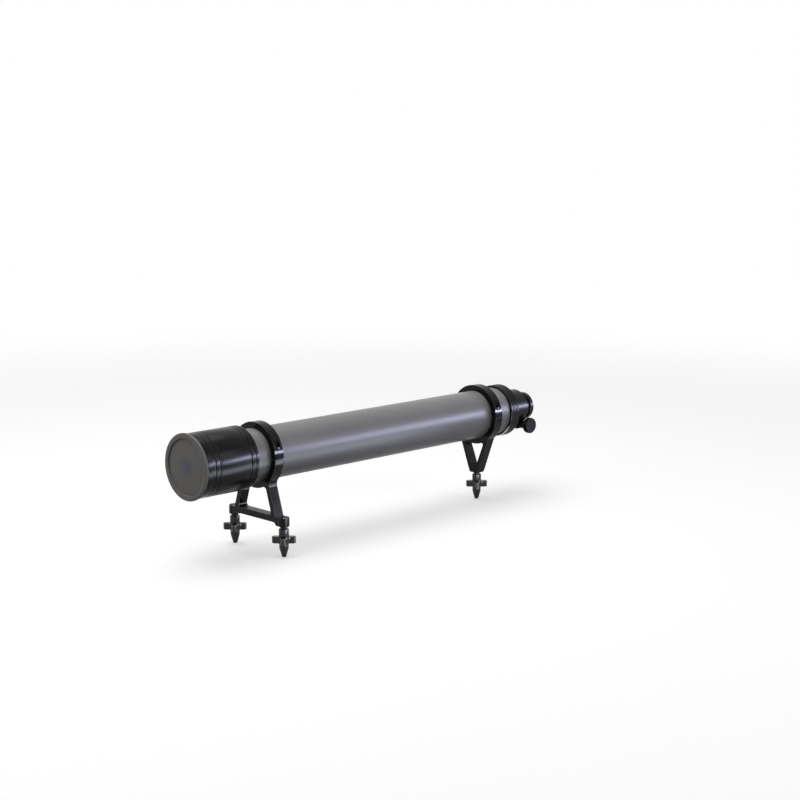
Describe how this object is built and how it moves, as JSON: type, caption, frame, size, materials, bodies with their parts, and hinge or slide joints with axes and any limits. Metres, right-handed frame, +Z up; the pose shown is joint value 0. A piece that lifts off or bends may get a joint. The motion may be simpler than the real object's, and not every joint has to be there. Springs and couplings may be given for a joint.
{
  "type": "optical collimator",
  "caption": "Bench optical collimator: long tube in two clamp rings on a three-point levelling stand, with capped objective and rack-and-pinion reticle focuser.",
  "frame": {"origin": "on the bench plane, under the middle of the overall length, below the optical axis", "axes": "+X along the optical axis from the objective to the reticle end, +Z up"},
  "size_m": [0.638, 0.1242, 0.1715],
  "materials": {
    "tube_paint": "satin warm grey paint",
    "cap_paint": "satin dark grey",
    "hood_black": "glossy black anodised",
    "black_anodised": "satin black anodised",
    "casting_black": "semi-gloss black paint on a casting",
    "drawtube_black": "satin black",
    "black_steel": "blackened",
    "foot_steel": "dark turned steel",
    "knob_aluminium": "black with a bare bead-blasted face",
    "shaft_steel": "bare",
    "rack_brass": "bare",
    "lens_glass": "polished",
    "ground_glass": "ground"
  },
  "bodies": {
    "stand": {"lens_hood": "hood_black", "objective_cell": "black_anodised", "lens_retaining_ring": "black_anodised", "lens_spacer": "black_anodised", "crown_lens": "lens_glass", "flint_lens": "lens_glass", "main_tube": "tube_paint", "front_baffle": "black_anodised", "middle_baffle": "black_anodised", "rear_baffle": "black_anodised", "front_ring_cap": "casting_black", "rear_ring_cap": "casting_black", "front_stand": "casting_black", "rear_stand": "casting_black", "front_ring_screws": "black_steel", "rear_ring_screws": "black_steel", "rear_flange": "black_anodised", "focuser_body": "black_anodised", "pinion_cover": "black_anodised", "pinion_cover_screws": "black_steel"},
    "dust_cap": {"dust_cap": "cap_paint"},
    "drawtube": {"drawtube": "drawtube_black", "focus_rack": "rack_brass", "reticle_holder": "black_anodised", "reticle": "lens_glass", "ground_glass": "ground_glass", "reticle_retaining_ring": "black_anodised"},
    "pinion": {"pinion_shaft": "shaft_steel", "focus_knob_near": "knob_aluminium", "focus_knob_far": "knob_aluminium"},
    "foot_near": {"levelling_foot_near": "foot_steel"},
    "screw_near": {"levelling_screw_near": "black_steel"},
    "foot_far": {"levelling_foot_far": "foot_steel"},
    "screw_far": {"levelling_screw_far": "black_steel"},
    "foot_rear": {"levelling_foot_rear": "foot_steel"},
    "screw_rear": {"levelling_screw_rear": "black_steel"}
  },
  "joints": [
    {"name": "cap_pull", "type": "slide", "parent": "stand", "child": "dust_cap", "axis": [-1, 0, 0], "range_m": [0, 0.04]},
    {"name": "focus_slide", "type": "slide", "parent": "stand", "child": "drawtube", "axis": [1, 0, 0], "range_m": [-0.0045, 0.015]},
    {"name": "focus_turn", "type": "hinge", "parent": "stand", "child": "pinion", "pos_m": [0.299, 0, 0.1035], "axis": [0, 1, 0], "range_deg": [-65, 215.5]},
    {"name": "foot_lift_near", "type": "slide", "parent": "stand", "child": "foot_near", "axis": [0, 0, 1], "range_m": [-0.005, 0.0025]},
    {"name": "screw_turn_near", "type": "hinge", "parent": "foot_near", "child": "screw_near", "pos_m": [-0.202, -0.05, 0.03], "axis": [0, 0, 1], "range_deg": [-1202, 602]},
    {"name": "foot_lift_far", "type": "slide", "parent": "stand", "child": "foot_far", "axis": [0, 0, 1], "range_m": [-0.005, 0.0025]},
    {"name": "screw_turn_far", "type": "hinge", "parent": "foot_far", "child": "screw_far", "pos_m": [-0.202, 0.05, 0.03], "axis": [0, 0, 1], "range_deg": [-1202, 602]},
    {"name": "foot_lift_rear", "type": "slide", "parent": "stand", "child": "foot_rear", "axis": [0, 0, 1], "range_m": [-0.005, 0.0025]},
    {"name": "screw_turn_rear", "type": "hinge", "parent": "foot_rear", "child": "screw_rear", "pos_m": [0.2155, 0, 0.03], "axis": [0, 0, 1], "range_deg": [-1202, 602]}
  ],
  "couplings": [
    {"joint": "focus_turn", "follows": "focus_slide", "rad_per_m": 250},
    {"joint": "screw_turn_near", "follows": "foot_lift_near", "rad_per_m": 4188.8},
    {"joint": "screw_turn_far", "follows": "foot_lift_far", "rad_per_m": 4188.8},
    {"joint": "screw_turn_rear", "follows": "foot_lift_rear", "rad_per_m": 4188.8}
  ]
}
